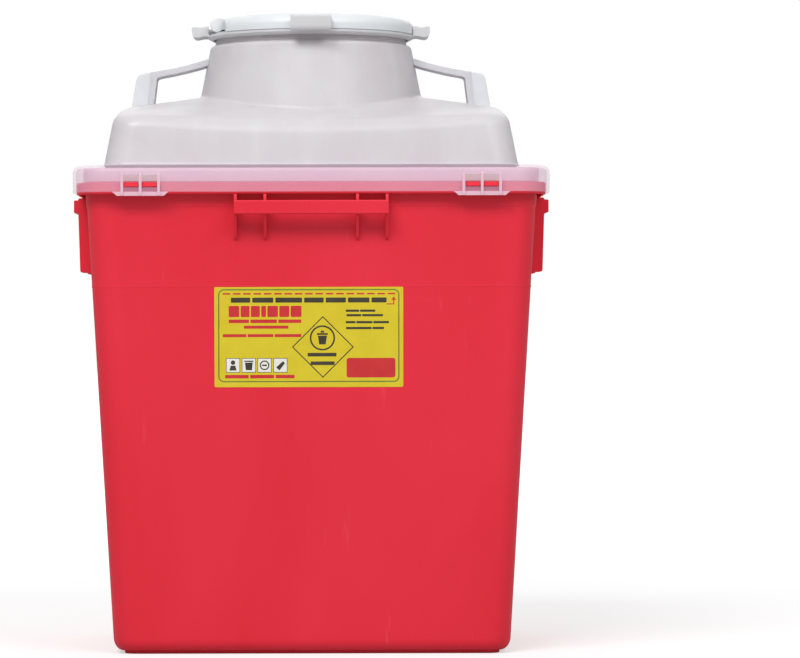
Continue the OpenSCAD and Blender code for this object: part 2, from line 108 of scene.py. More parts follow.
class Plastic:
    """A Principled material whose colour, roughness and bump come from noise in object space."""

    def __init__(self, name, **settings):
        self.material = bpy.data.materials.new(name)
        self.material.use_nodes = True
        self.nodes = self.material.node_tree.nodes
        self.links = self.material.node_tree.links
        self.shader = self.nodes["Principled BSDF"]
        for key, value in settings.items():
            self.shader.inputs[key.replace("_", " ")].default_value = value
        self.coords = self.nodes.new("ShaderNodeTexCoord").outputs["Object"]
        self.height = None

    def noise(self, scale, stretch=(1, 1, 1), detail=3, rough=0.5, distortion=0.0):
        """Noise of 0 to 1. A stretch below 1 draws it out along that axis."""
        mapping = self.nodes.new("ShaderNodeMapping")
        mapping.inputs["Scale"].default_value = stretch
        self.links.new(self.coords, mapping.inputs["Vector"])
        node = self.nodes.new("ShaderNodeTexNoise")
        node.inputs["Scale"].default_value = scale
        node.inputs["Detail"].default_value = detail
        node.inputs["Roughness"].default_value = rough
        node.inputs["Distortion"].default_value = distortion
        self.links.new(mapping.outputs[0], node.inputs["Vector"])
        return node.outputs["Fac"]

    def spread(self, value, low, high, start=0.3, end=0.7):
        """Maps start to low and end to high, and holds those beyond."""
        node = self.nodes.new("ShaderNodeMapRange")
        node.inputs["From Min"].default_value = start
        node.inputs["From Max"].default_value = end
        node.inputs["To Min"].default_value = low
        node.inputs["To Max"].default_value = high
        self.links.new(value, node.inputs["Value"])
        return node.outputs["Result"]

    def product(self, a, b):
        node = self.nodes.new("ShaderNodeMath")
        node.operation = "MULTIPLY"
        self.links.new(a, node.inputs[0])
        self.links.new(b, node.inputs[1])
        return node.outputs[0]

    def tint(self, factor, a, b):
        """From colour a at factor 0 to colour b at 1. Each is a colour or a socket."""
        node = self.nodes.new("ShaderNodeMix")
        node.data_type = "RGBA"
        self.links.new(factor, node.inputs["Factor"])
        for socket, value in (("A", a), ("B", b)):
            target = [s for s in node.inputs if s.name == socket and s.type == "RGBA"][0]
            if isinstance(value, tuple):
                target.default_value = value
            else:
                self.links.new(value, target)
        return [s for s in node.outputs if s.type == "RGBA"][0]

    def bump(self, value, strength, distance):
        """Adds a bump of that distance, in metres, over the ones before."""
        node = self.nodes.new("ShaderNodeBump")
        node.inputs["Strength"].default_value = strength
        node.inputs["Distance"].default_value = distance
        self.links.new(value, node.inputs["Height"])
        if self.height:
            self.links.new(self.height, node.inputs["Normal"])
        self.height = node.outputs["Normal"]
        self.links.new(self.height, self.shader.inputs["Normal"])

    def colour(self, value):
        self.links.new(value, self.shader.inputs["Base Color"])

    def roughness(self, value):
        self.links.new(value, self.shader.inputs["Roughness"])

    def height_z(self, low, high):
        """0 below low, 1 above high, in metres."""
        split = self.nodes.new("ShaderNodeSeparateXYZ")
        self.links.new(self.coords, split.inputs[0])
        return self.spread(split.outputs["Z"], 0, 1, low, high)


def make_red(name, dark, light, scuffed):
    """Glossy red polypropylene with a faint flow pattern and fine upright scuffs, more near the floor."""
    red = Plastic(name, IOR=1.49, Specular_IOR_Level=0.24)
    flow = red.noise(9, (1, 1, 0.35), 4, 0.55, 0.6)
    body = red.tint(red.spread(flow, 0, 1, 0.35, 0.65), dark, light)
    scratches = red.noise(260, (1, 1, 0.06), 2, 0.6, 0.3)
    patches = red.noise(22, (1, 1, 1), 3)
    near_floor = red.spread(red.height_z(0.0, 0.06), 0.75, 0.22, 0, 1)
    amount = red.product(red.spread(scratches, 0, 1, 0.66, 0.74), near_floor)
    spots = red.product(amount, red.spread(patches, 0, 1, 0.5, 0.62))
    red.colour(red.tint(spots, body, scuffed))
    red.roughness(red.spread(red.noise(45, (1, 1, 1), 4, 0.6), 0.34, 0.46))
    red.bump(red.noise(5, (1, 1, 0.6), 2), 0.25, 0.0016)
    red.bump(red.noise(900, (1, 1, 1), 3, 0.6), 0.12, 0.00008)
    return red.material


RED = make_red("tub_red", srgb(229, 42, 60), srgb(235, 49, 68), srgb(240, 92, 106))


def make_natural(name, a, b, alpha, rough, soft, streak=False):
    """Unpigmented polypropylene: milky, a little uneven, and with faint flow streaks if asked. Some callers
    paint light and shade, and red light from the tub, into the colours a and b.
    """
    lid = Plastic(name, IOR=1.49, Alpha=alpha)
    if soft:
        lid.shader.inputs["Subsurface Weight"].default_value = soft
        lid.shader.inputs["Subsurface Radius"].default_value = (1.0, 0.85, 0.9)
        lid.shader.inputs["Subsurface Scale"].default_value = 0.006
    cloud = lid.noise(11, (1, 1, 1.6), 4, 0.55, 0.8)
    base = lid.tint(lid.spread(cloud, 0, 1, 0.32, 0.68), a, b)
    if streak:
        streaks = lid.noise(60, (1, 1, 0.08), 3, 0.5)
        pale = tuple(min(1, c * 1.05) for c in b[:3]) + (1,)
        base = lid.tint(lid.spread(streaks, 0, 0.5, 0.5, 0.72), base, pale)
    lid.colour(base)
    lid.roughness(lid.spread(lid.noise(55, (1, 1, 1), 3), rough - 0.05, rough + 0.07))
    lid.bump(lid.noise(14, (1, 1, 0.5), 2), 0.2, 0.0012)
    lid.bump(lid.noise(700, (1, 1, 1), 2, 0.6), 0.10, 0.00008)
    return lid.material


MILKY = make_natural("lid_natural", srgb(220, 213, 218), srgb(227, 223, 227), 0.86, 0.34, 0.35, streak=True)
# Painted red light: the skirt's pink base colour stands for the red rim seen through it; its low alpha also
# lets the real red through
SKIRT_PAINTED_RED_LIGHT = make_natural("lid_skirt_painted_red_light", srgb(248, 206, 236), srgb(251, 218, 242), 0.23, 0.30, 0)
# Painted red light: the clips' pink base colour stands for red light from the tub shining through them
CLIP_PAINTED_RED_LIGHT = make_natural("lid_clip_painted_red_light", srgb(250, 206, 224), srgb(252, 216, 232), 0.72, 0.30, 0)
WALLS = make_natural("lid_channel_natural", srgb(248, 236, 244), srgb(252, 242, 248), 0.7, 0.36, 0)
# Painted light: the post is the same plastic as the strap, painted a lighter, bluer white for its lit, thin
# face
POST_PAINTED_LIGHT = make_natural("handle_post_painted_light", srgb(228, 230, 234), srgb(234, 236, 240), 0.9, 0.34, 0.25)
# Painted shade: the strap and the dome's ribs are painted a greyer tone than the post, for their thick,
# shaded parts
GRIP_PAINTED_SHADE = make_natural("handle_painted_shade", srgb(216, 214, 221), srgb(224, 223, 229), 0.9, 0.34, 0.25)
# Painted shade: the closure ring, its lugs and knuckle are painted greyer than the cap, for translucent
# plastic in shade
RING_PAINTED_SHADE = make_natural("ring_painted_shade", srgb(214, 214, 216), srgb(222, 223, 226), 0.94, 0.34, 0.2)
CAP = make_natural("cap_white", srgb(229, 233, 237), srgb(236, 240, 243), 0.97, 0.30, 0.2)


def make_film(name, a, b, rough, coat):
    """Printed film, or the ink on it: slightly uneven, under a thin gloss."""
    film = Plastic(name, IOR=1.5, Coat_Weight=coat, Coat_Roughness=0.18)
    film.colour(film.tint(film.spread(film.noise(70, (1, 1, 1), 4, 0.6), 0, 1), a, b))
    film.roughness(film.spread(film.noise(120, (1, 1, 1), 3), rough - 0.05, rough + 0.08))
    film.bump(film.noise(26, (1, 1, 1), 2), 0.12, 0.0004)
    film.bump(film.noise(1500, (1, 1, 1), 2), 0.06, 0.00003)
    return film.material


FILM = make_film("label_yellow", srgb(219, 198, 18), srgb(226, 206, 30), 0.38, 0.25)
INK_GREEN = make_film("ink_green", srgb(96, 124, 40), srgb(112, 138, 52), 0.45, 0.2)
INK_RED = make_film("ink_red", srgb(202, 28, 34), srgb(212, 44, 46), 0.45, 0.2)
INK_DARK = make_film("ink_dark", srgb(48, 44, 30), srgb(66, 60, 42), 0.5, 0.2)
INK_WHITE = make_film("ink_white", srgb(236, 236, 228), srgb(246, 246, 240), 0.45, 0.2)


def make_floor():
    """A pale floor that fades to the white of the world away from the object, to the camera only."""
    floor = Plastic("floor_pale", Roughness=0.8, IOR=1.4, Specular_IOR_Level=0.1, Emission_Color=(1, 1, 1, 1))
    floor.colour(floor.tint(floor.noise(3, (1, 1, 1), 3), (0.50, 0.50, 0.50, 1), (0.53, 0.53, 0.53, 1)))
    floor.bump(floor.noise(60, (1, 1, 1), 3), 0.03, 0.0005)
    length = floor.nodes.new("ShaderNodeVectorMath")
    length.operation = "LENGTH"
    floor.links.new(floor.coords, length.inputs[0])
    seen = floor.nodes.new("ShaderNodeLightPath").outputs["Is Camera Ray"]
    glow = floor.product(floor.spread(length.outputs["Value"], 0.52, 0.95, 0.7, 2.4), seen)
    floor.links.new(glow, floor.shader.inputs["Emission Strength"])
    return floor.material


# ---------------------------------------------------------------- mesh helpers, all in millimetres

CORNER = 10  # steps in a quarter turn
SIDE = 22    # points along each straight side
TURN = 144   # steps in a full turn


def turned(r, angle):
    """A point at distance r and at an angle in radians."""
    return (r * math.cos(angle), r * math.sin(angle))


def outline(hw, hd, r):
    """A rectangle of half width hw and half depth hd with corners of radius r."""
    corners = []
    for k, (sx, sy) in enumerate(((1, 1), (-1, 1), (-1, -1), (1, -1))):
        angles = [math.radians(90 * k + 90 * i / CORNER) for i in range(CORNER + 1)]
        corners.append([(sx * (hw - r) + r * math.cos(a), sy * (hd - r) + r * math.sin(a)) for a in angles])
    points = []
    for k in range(4):
        points += corners[k]
        (x0, y0), (x1, y1) = corners[k][-1], corners[(k + 1) % 4][0]
        for i in range(1, SIDE + 1):
            points.append((x0 + (x1 - x0) * i / (SIDE + 1), y0 + (y1 - y0) * i / (SIDE + 1)))
    return points


def loft(rings, wrap=False, band=None, bm=None):
    """A skin through rings of equal count. wrap joins the last ring to the first, or else both ends close."""
    bm = bm or bmesh.new()
    loops = [[bm.verts.new(p) for p in ring] for ring in rings]
    pairs = list(zip(loops, loops[1:])) + ([(loops[-1], loops[0])] if wrap else [])
    count = len(rings[0])
    for k, (low, high) in enumerate(pairs):
        for i in range(count):
            j = (i + 1) % count
            face = bm.faces.new((low[i], low[j], high[j], high[i]))
            face.material_index = band(k) if band else 0
    if not wrap:
        bm.faces.new(loops[0][::-1])
        bm.faces.new(loops[-1])
    return bm


def circle(r, z, steps=TURN):
    return [turned(r, 2 * math.pi * i / steps) + (z,) for i in range(steps)]


def arc_block(bm, profile, middle, width, steps=16):
    """A length of ring whose section is profile, as (r, z) points, closed at both ends."""
    rings = []
    for i in range(steps + 1):
        a = math.radians(middle - width / 2 + width * i / steps)
        rings.append([turned(r, a) + (z,) for r, z in profile])
    loft(rings, bm=bm)


def prism(bm, points, axis, low, high):
    """A closed solid of a flat outline, drawn in the two other axes, between two places on axis."""
    def place(p, d):
        return {"x": (d, p[0], p[1]), "y": (p[0], d, p[1]), "z": (p[0], p[1], d)}[axis]

    loft([[place(p, low) for p in points], [place(p, high) for p in points]], bm=bm)


def mirrored(bm, scale):
    """Adds a copy of everything in bm, scaled by scale about the origin."""
    found = bmesh.ops.duplicate(bm, geom=bm.verts[:] + bm.edges[:] + bm.faces[:])
    verts = [g for g in found["geom"] if isinstance(g, bmesh.types.BMVert)]
    bmesh.ops.scale(bm, vec=scale, verts=verts)


def smooth_line(points, steps=2):
    """A rounder line through the points, by cutting corners."""
    for _ in range(steps):
        cut = [points[0]]
        for a, b in zip(points, points[1:]):
            cut.append((0.75 * a[0] + 0.25 * b[0], 0.75 * a[1] + 0.25 * b[1]))
            cut.append((0.25 * a[0] + 0.75 * b[0], 0.25 * a[1] + 0.75 * b[1]))
        cut.append(points[-1])
        points = cut
    return points


def piece(name, bm, body, materials, hides=(), bevel=0.0):
    """Makes the object in metres, with its edges eased by bevel millimetres or else kept sharp."""
    bmesh.ops.recalc_face_normals(bm, faces=bm.faces)
    bm.transform(Matrix.Scale(0.001, 4))
    mesh = bpy.data.meshes.new(name)
    bm.to_mesh(mesh)
    bm.free()
    for material in materials:
        mesh.materials.append(material)
    mesh.shade_smooth()
    obj = bpy.data.objects.new(name, mesh)
    scene.collection.objects.link(obj)
    if bevel:
        edges = obj.modifiers.new("edges", "BEVEL")
        edges.width = bevel * 0.001
        edges.segments = 3
        edges.limit_method = "ANGLE"
        edges.angle_limit = math.radians(30)
    else:
        mesh.set_sharp_from_angle(angle=SHARP)
    normals = obj.modifiers.new("normals", "WEIGHTED_NORMAL")
    normals.keep_sharp = True
    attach(obj, body)
    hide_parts(*hides)
    return obj


SHARP = math.radians(38)  # a bend that is sharper than this keeps its edge


# ---------------------------------------------------------------- tub

LEAN = 0.0562          # how far the walls lean out for each millimetre of height
FOOT_HALF_W = 132.2
FOOT_HALF_D = 104.6
WIDER = 27.6           # half width less half depth, the same for the tub and the lid at every height
FOOT_CORNER = 15       # radius of the tub's corners at the floor
WALL = 2.2
BASE = 2.0             # underside of the floor, inside the foot ring
FLOOR_TOP = 4.2
WALL_TOP = 311.0       # where the wall turns out into the rim
RIM_TOP = 313.5
LIP_BOTTOM = 305.5     # the rim's turned-down lip ends here
LIP_OUT = 155.7        # half width of the tub over its lip
CLIPS = (-112.6, 112.6)    # the clips' places across, alike at the front and the rear
WINDOWS = (-6.05, 6.05)    # the two windows and hooks of a clip, from its middle


def half_w(z):
    return FOOT_HALF_W + LEAN * z


def half_d(z):
    return FOOT_HALF_D + LEAN * z


def tub_ring(hw, z):
    """A ring that is hw wide at the middle, with its corners parallel to the tub's."""
    return [(x, y, z) for x, y in outline(hw, hw - WIDER, FOOT_CORNER + hw - half_w(z))]


def wall_ring(offset, z):
    return tub_ring(half_w(z) + offset, z)


def make_tub():
    """One skin: under the floor, over the foot ring, up the wall, round the rim and down the inside."""
    under = [(-13.2, BASE), (-11.4, BASE), (-11.0, 1.6), (-11.0, 0.5)]
    foot = [(-10.5, 0.0), (-7.5, 0.0), (-7.0, 0.5), (-7.0, 1.7), (-6.7, BASE)]
    for step in range(1, 9):
        a = math.radians(90 * step / 8)
        foot.append((-6 + 6 * math.sin(a), BASE + 8 * (1 - math.cos(a))))
    wall = [(0, z) for z in (14, 40, 70, 100, 130, 160, 190, 220, 243.9)]
    # A faint raised line runs round the tub, and the wall steps out a little under the rim
    wall += [(0.28, 244.4), (0.28, 245.0), (0, 245.5), (0, 265), (0, 297.0), (0.2, 297.3), (0.5, 297.9)]
    wall += [(0.5, 303), (0.5, 309.2), (0.8, 310.3), (1.5, WALL_TOP)]
    rim = [(152.9, 311.1), (153.5, 310.9), (153.7, 310.3), (153.7, 305.9), (154.1, LIP_BOTTOM)]
    rim += [(155.3, LIP_BOTTOM), (LIP_OUT, 305.9), (LIP_OUT, 312.3), (155.45, 313.1), (154.8, RIM_TOP)]
    rim += [(148.4, RIM_TOP), (147.8, 313.25)]
    inside = [(-WALL, z) for z in (312.4, 280, 200, 100)]
    for step in range(0, 7):
        a = math.radians(90 * step / 6)
        inside.append((-WALL - 6 * (1 - math.cos(a)), FLOOR_TOP + 8 * (1 - math.sin(a))))
    inside += [(-13.2, FLOOR_TOP)]
    rings = [wall_ring(*p) for p in under + foot + wall]
    rings += [tub_ring(*p) for p in rim]
    rings += [wall_ring(*p) for p in inside]
    piece("tub_body", loft(rings), "tub", [RED], ("tub_shell", "foot_ring", "tub_rim"))


def make_hooks():
    """Ramped hooks under the lip, one in each clip window."""
    bm = bmesh.new()
    root, tip = -127.6, -131.2
    section = [(root, 310.0), (tip, 310.2), (tip, 311.1), (tip + 1, 312.2), (-128.6, 313.2), (root, 313.4)]
    for clip in CLIPS:
        for off in WINDOWS:
            prism(bm, section, "x", clip + off - 4.7, clip + off + 4.7)
    mirrored(bm, (1, -1, 1))
    piece("rim_hooks", bm, "tub", [RED], ("rim_hooks_front", "rim_hooks_rear"), bevel=0.25)


RIB_ROWS = (-30.5, 30.5)  # the two inner ribs of every grip bar
RIB_HALF = 1              # half the thickness of a rib


def make_front_grip(name, side, hides):
    """A grip bar with four ribs, on the front wall for side -1 and on the rear wall for side 1."""
    bm = bmesh.new()
    face, back = -134.0, -131.5
    # The bar's lower edge is turned a little towards the wall
    section = [(face, 292.5), (face, 300.6), (face + 0.5, 301.2), (back - 0.4, 301.2), (back, 300.7)]
    section += [(back, 293.2), (back + 0.5, 291.9), (-133.4, 291.9)]
    prism(bm, section, "x", -51, 51)
    foot = -half_d(276)
    rib = [(foot + 1.2, 274.8), (foot - 1.4, 275.8), (foot - 2.6, 277.2), (-129.2, 287.5), (-131.7, 290.6)]
    rib += [(-131.7, 301.0), (-130.0, 305.4), (-126.2, 305.4), (-126.2, 311.3), (-half_d(311) + 1.2, 311.3)]
    for x in (-50, *RIB_ROWS, 50):
        prism(bm, rib, "x", x - RIB_HALF, x + RIB_HALF)
    bmesh.ops.scale(bm, vec=(1, -side, 1), verts=bm.verts)
    piece(name, bm, "tub", [RED], hides, bevel=0.35)


def make_side_grip(name, side, hides):
    """A grip bar with four deep wings, on the right wall for side 1 and on the left wall for side -1."""
    bm = bmesh.new()
    face, back = 161.1, 158.6
    section = [(face, 295.8), (face, 303.4), (face - 0.5, 304.0), (back + 0.4, 304.0), (back, 303.5)]
    section += [(back, 296.1), (158.2, 295.2), (160.5, 295.2)]
    prism(bm, section, "y", -52, 52)
    wing = [(half_w(255) - 1.2, 255), (155.9, 255), (156.6, 255.4), (156.9, 256.2), (158.1, 294.9)]
    wing += [(158.8, 295.6), (158.8, 303.8), (157.4, 305.4), (153.6, 305.4), (153.6, 311.3)]
    wing += [(half_w(311) - 1.2, 311.3)]
    for y in (-51, *RIB_ROWS, 51):
        prism(bm, wing, "y", y - RIB_HALF, y + RIB_HALF)
    bmesh.ops.scale(bm, vec=(side, 1, 1), verts=bm.verts)
    piece(name, bm, "tub", [RED], hides, bevel=0.35)


make_tub()
make_hooks()
# The front and rear grips are mirror images: the piece named for each stands on the wall opposite
make_front_grip("front_grip", 1, ("front_grip_bar", "front_grip_ribs"))
make_front_grip("rear_grip", -1, ("rear_grip_bar", "rear_grip_ribs"))
make_side_grip("right_grip", 1, ("right_grip_bar", "right_grip_wings"))
make_side_grip("left_grip", -1, ("left_grip_bar", "left_grip_wings"))

# ---------------------------------------------------------------- label

LABEL_X = -1.8
LABEL_Z = 211.3
LABEL_W = 125.0
LABEL_H = 67.0
SLOPE = math.atan(LEAN)

# Each layer lies between two heights above the wall
PRINT = (0.13, 0.17)
PATCH = (0.13, 0.16)
ON_PATCH = (0.16, 0.19)


def on_label(u, v, lift):
    """A point lift millimetres above the wall, u across and v up from the label's middle."""
    z = LABEL_Z + v * math.cos(SLOPE)
    y = -half_d(LABEL_Z) - v * math.sin(SLOPE)
    return (LABEL_X + u, y - lift * math.cos(SLOPE), z + lift * math.sin(SLOPE))


def stamp(bm, shape, layer=PRINT):
    """A thin closed plate on the label, with outline shape."""
    loft([[on_label(u, v, lift) for u, v in shape] for lift in layer], bm=bm)


def stamp_frame(bm, outer, inner, layer=PRINT):
    """A thin closed line between two outlines of equal count."""
    low, high = layer
    loops = ((outer, low), (outer, high), (inner, high), (inner, low))
    loft([[on_label(u, v, lift) for u, v in shape] for shape, lift in loops], wrap=True, bm=bm)


def box_shape(u0, u1, v0, v1, r=0.0, steps=5):
    if not r:
        return [(u0, v0), (u1, v0), (u1, v1), (u0, v1)]
    points = []
    for k, (cx, cy) in enumerate(((u1 - r, v1 - r), (u0 + r, v1 - r), (u0 + r, v0 + r), (u1 - r, v0 + r))):
        for i in range(steps + 1):
            a = math.radians(90 * k + 90 * i / steps)
            points.append((cx + r * math.cos(a), cy + r * math.sin(a)))
    return points


def disc_shape(cu, cv, r, steps=28):
    angles = [2 * math.pi * i / steps for i in range(steps)]
    return [(cu + r * math.cos(a), cv + r * math.sin(a)) for a in angles]


def diamond_shape(cu, cv, half):
    return [(cu + half, cv), (cu, cv + half), (cu - half, cv), (cu, cv - half)]


def print_bars(bm, u0, u1, v, height, words, seed):
    """A line of print shown as plain bars, one for each word."""
    rng = random.Random(seed)
    gap = height * 0.42
    sizes = [rng.uniform(0.7, 1.6) for _ in range(words)]
    unit = (u1 - u0 - gap * (words - 1)) / sum(sizes)
    low, high = v - height / 2, v + height / 2
    at = u0
    for size in sizes:
        stamp(bm, box_shape(at, at + size * unit, low, high, height * 0.12, 2))
        at += size * unit + gap


def make_label_sheet():
    sheet = bmesh.new()
    hw, hh = LABEL_W / 2, LABEL_H / 2
    ease = 0.15
    shape = box_shape(-hw, hw, -hh, hh, 1.2)
    inner = box_shape(-hw + ease, hw - ease, -hh + ease, hh - ease, 1.2 - ease)
    layers = ((shape, 0.0), (shape, 0.10), (inner, 0.14))
    loft([[on_label(u, v, lift) for u, v in ring] for ring, lift in layers], bm=sheet)
    piece("label_sheet", sheet, "tub", [FILM], ("label",))


def make_green_print():
    """The thin line round the label."""
    green = bmesh.new()
    stamp_frame(green, box_shape(-60, 60, -30.2, 31.5, 3.8), box_shape(-59.2, 59.2, -29.4, 30.7, 3.0))
    piece("label_print_green", green, "tub", [INK_GREEN])


def make_red_print():
    """The dashed line at the top with its arrow, a row of heading blocks, small print and a plain block."""
    red = bmesh.new()
    for i in range(17):
        u = -57 + 6.83 * i
        stamp(red, box_shape(u, u + 5, 27.9, 28.9))
    u = -53.0
    for width in (7.0, 5.9, 5.9, 3.2, 7.0, 6.6, 7.2):
        stamp(red, box_shape(u, u + width, 13.0, 20.4, 0.8, 3))
        u += width + 0.9
    for seed, (u0, u1, v, height, words) in enumerate((
        (-53, -5, 10.2, 2.3, 3),
        (-43, -13.5, 6.3, 2.0, 1),
        (-57, -5, 0.7, 2.0, 3),
        (-55.5, -9.5, -26.5, 2.3, 3),
    ), 3):
        print_bars(red, u0, u1, v, height, words, seed)
    stem, head = 21.2, 24.2
    arrow = [(55.8, stem), (56.6, stem), (56.6, head), (57.9, head), (56.2, 26.6), (54.5, head), (55.8, head)]
    stamp(red, arrow)
    stamp(red, box_shape(51.5, 55.7, stem, 21.9))
    stamp(red, box_shape(25, 57.3, -27.2, -14.2, 1.6))
    piece("label_print_red", red, "tub", [INK_RED])


def stamp_diamond(dark):
    """A diamond line with a ringed bin in its upper half and two lines of print below."""
    cu, cv, half = 9.3, -6.9, 20.5
    stamp_frame(dark, diamond_shape(cu, cv, half), diamond_shape(cu, cv, half - 0.95))
    stamp_frame(dark, disc_shape(9.0, -0.9, 8.4), disc_shape(9.0, -0.9, 7.3))
    stamp(dark, [(6.0, 0.6), (6.9, -5.2), (11.1, -5.2), (12.0, 0.6)])
    stamp(dark, box_shape(5.4, 12.6, 1.1, 2.3))
    stamp(dark, box_shape(7.9, 10.1, 2.6, 3.9))
    print_bars(dark, -0.8, 18.3, -12, 2.4, 1, 16)
    print_bars(dark, 1.2, 17, -17.7, 2.4, 1, 17)


def stamp_pictogram(dark, kind, mid):
    """One of four plain pictograms, each centred at mid: person, bin, crossed ring, tilted block."""
    if kind == 0:
        body = [(mid - 2.4, -22.4), (mid + 2.4, -22.4), (mid + 1.5, -19.2), (mid - 1.5, -19.2)]
        stamp(dark, disc_shape(mid, -17.2, 1.5, 14), ON_PATCH)
        stamp(dark, body, ON_PATCH)
    elif kind == 1:
        body = [(mid - 2.6, -17.2), (mid - 2.0, -22.2), (mid + 2.0, -22.2), (mid + 2.6, -17.2)]
        stamp(dark, body, ON_PATCH)
        stamp(dark, box_shape(mid - 3.0, mid + 3.0, -16.7, -15.9), ON_PATCH)
    elif kind == 2:
        stamp_frame(dark, disc_shape(mid, -19, 3.2), disc_shape(mid, -19, 2.4), ON_PATCH)
        stamp(dark, box_shape(mid - 1.6, mid + 1.6, -19.5, -18.5), ON_PATCH)
    else:
        body = [(mid - 2.8, -20.4), (mid - 0.6, -22.4), (mid + 3.0, -17.6), (mid + 1.8, -16.2)]
        stamp(dark, body, ON_PATCH)


def make_dark_print():
    """The dark lines of print, the diamond, and four pictograms on white patches."""
    dark = bmesh.new()
    for seed, (u0, u1, v, height, words) in enumerate((
        (-51.5, 51.5, 24.2, 3.3, 7),
        (24.5, 44, 17.1, 1.5, 2),
        (25, 49, 14.1, 1.5, 2),
        (24.5, 53, 9.5, 1.5, 3),
        (24.7, 49.8, 5.6, 1.5, 2),
    ), 11):
        print_bars(dark, u0, u1, v, height, words, seed)
    stamp_diamond(dark)
    white = bmesh.new()
    wide, low, high, line = 9.3, -23.8, -14.2, 0.35
    for kind, left in enumerate((-54.9, -44.4, -34.0, -23.5)):
        stamp(white, box_shape(left, left + wide, low, high, 0.5, 3), PATCH)
        inner = box_shape(left + line, left + wide - line, low + line, high - line)
        stamp_frame(dark, box_shape(left, left + wide, low, high), inner, ON_PATCH)
        stamp_pictogram(dark, kind, left + wide / 2)
    piece("label_print_white", white, "tub", [INK_WHITE])
    piece("label_print_dark", dark, "tub", [INK_DARK])


make_label_sheet()
make_green_print()
make_red_print()
make_dark_print()

# ---------------------------------------------------------------- lid

SHELF = 324.7             # top of the flat shelf round the dome
SHELF_UNDER = 322.9
SKIRT_OUT = 158.5         # half width of the lid over its skirt
SKIRT_IN = 156.5
SKIRT_LOW = 306.9
DOME_HALF_W = 138.5       # the dome where it leaves the shelf
DOME_HALF_D = 111.0
DOME_CORNER = 18
DOME_LEAN = 0.189         # how far the dome's walls lean in
ROOF_TOP = 376.0          # the roof's height along its ridge, out to the neck
NECK_R = 76.2             # the neck's radius at the height of the ridge
NECK_LEAN = 6.7 / 33.4
NECK_TOP = 409            # where the neck turns in to the spigot
DOME_WALL = 2
ANGLES = [math.atan2(y, x) for x, y in outline(DOME_HALF_W, DOME_HALF_D, DOME_CORNER)]
BEADS = (45, 135, 225, 315)    # directions of the spigot's locking beads, and of the ring's catches
BEAD_SPAN = 30


def skirt_ring(hw, z, r=None):
    return [(x, y, z) for x, y in outline(hw, hw - WIDER, r or 23.8 + hw - SKIRT_OUT)]


def dome_foot(e, z):
    """A ring round the dome's foot, e inside its outer face."""
    return [(x, y, z) for x, y in outline(DOME_HALF_W - e, DOME_HALF_D - e, DOME_CORNER - e)]


def roof(x, y):
    """Height of the dome's roof: highest along a ridge from side to side, and lower at the eaves."""
    ridge = ROOF_TOP - max(0.0, abs(x) - NECK_R) * 7.4 / 52
    eave = 354 + 4.5 * min(1.0, (x / 110) ** 2)
    return ridge - (ridge - eave) * (y / 105) ** 2


def neck_r(z, t):
    return NECK_R - NECK_LEAN * (z - ROOF_TOP) - t


def bezier(a, c, b, s):
    return tuple((1 - s) ** 2 * p + 2 * s * (1 - s) * q + s * s * r for p, q, r in zip(a, c, b))


def dome_column(start, slope, angle, t, low, top, foot_round):
    """One upright line of the dome, from its foot over the eave and the roof and up the neck."""
    def wall(z):
        e = DOME_LEAN * (z - SHELF)
        return (start[0] + slope[0] * e, start[1] + slope[1] * e, z)

    # The wall meets the roof where their heights agree
    z = 360.0
    for _ in range(5):
        x, y = wall(z)[:2]
        z = roof(x, y) - t
    corner = wall(z)
    under = wall(z - 8 + t)
    over = (corner[0] * 0.925, corner[1] * 0.925)
    over = over + (roof(*over) - t,)
    # And so does the roof with the neck
    cos, sin = math.cos(angle), math.sin(angle)
    r = 77.0
    for _ in range(6):
        foot_z = roof(r * cos, r * sin) - t
        r = neck_r(foot_z, t)
    foot = (r * cos, r * sin, foot_z)
    out_r = r + foot_round
    foot_out = (out_r * cos, out_r * sin, roof(out_r * cos, out_r * sin) - t)
    up_z = foot_z + foot_round
    up_r = neck_r(up_z, t)
    foot_up = (up_r * cos, up_r * sin, up_z)
    column = [wall(low + (under[2] - low) * s / 4) for s in range(4)]
    column += [bezier(under, corner, over, s / 7) for s in range(8)]
    for s in range(1, 8):
        f = s / 8
        x = over[0] + (foot_out[0] - over[0]) * f
        y = over[1] + (foot_out[1] - over[1]) * f
        column.append((x, y, roof(x, y) - t))
    column += [bezier(foot_out, foot, foot_up, s / 5) for s in range(6)]
    for s in range(1, 8):
        z = up_z + (top - up_z) * s / 7
        column.append((neck_r(z, t) * cos, neck_r(z, t) * sin, z))
    return column


def dome_rings(t, low, top, foot_round):
    """Rings from height low up the dome's walls, over its roof and up the neck to top, t inside the skin."""
    start = outline(DOME_HALF_W - t, DOME_HALF_D - t, DOME_CORNER - t)
    inner = outline(DOME_HALF_W - 1 - t, DOME_HALF_D - 1 - t, DOME_CORNER - t)
    columns = []
    for i, angle in enumerate(ANGLES):
        slope = (inner[i][0] - start[i][0], inner[i][1] - start[i][1])
        columns.append(dome_column(start[i], slope, angle, t, low, top, foot_round))
    return [[column[k] for column in columns] for k in range(len(columns[0]))]


def neck_ring(r, z):
    return [turned(r, a) + (z,) for a in ANGLES]


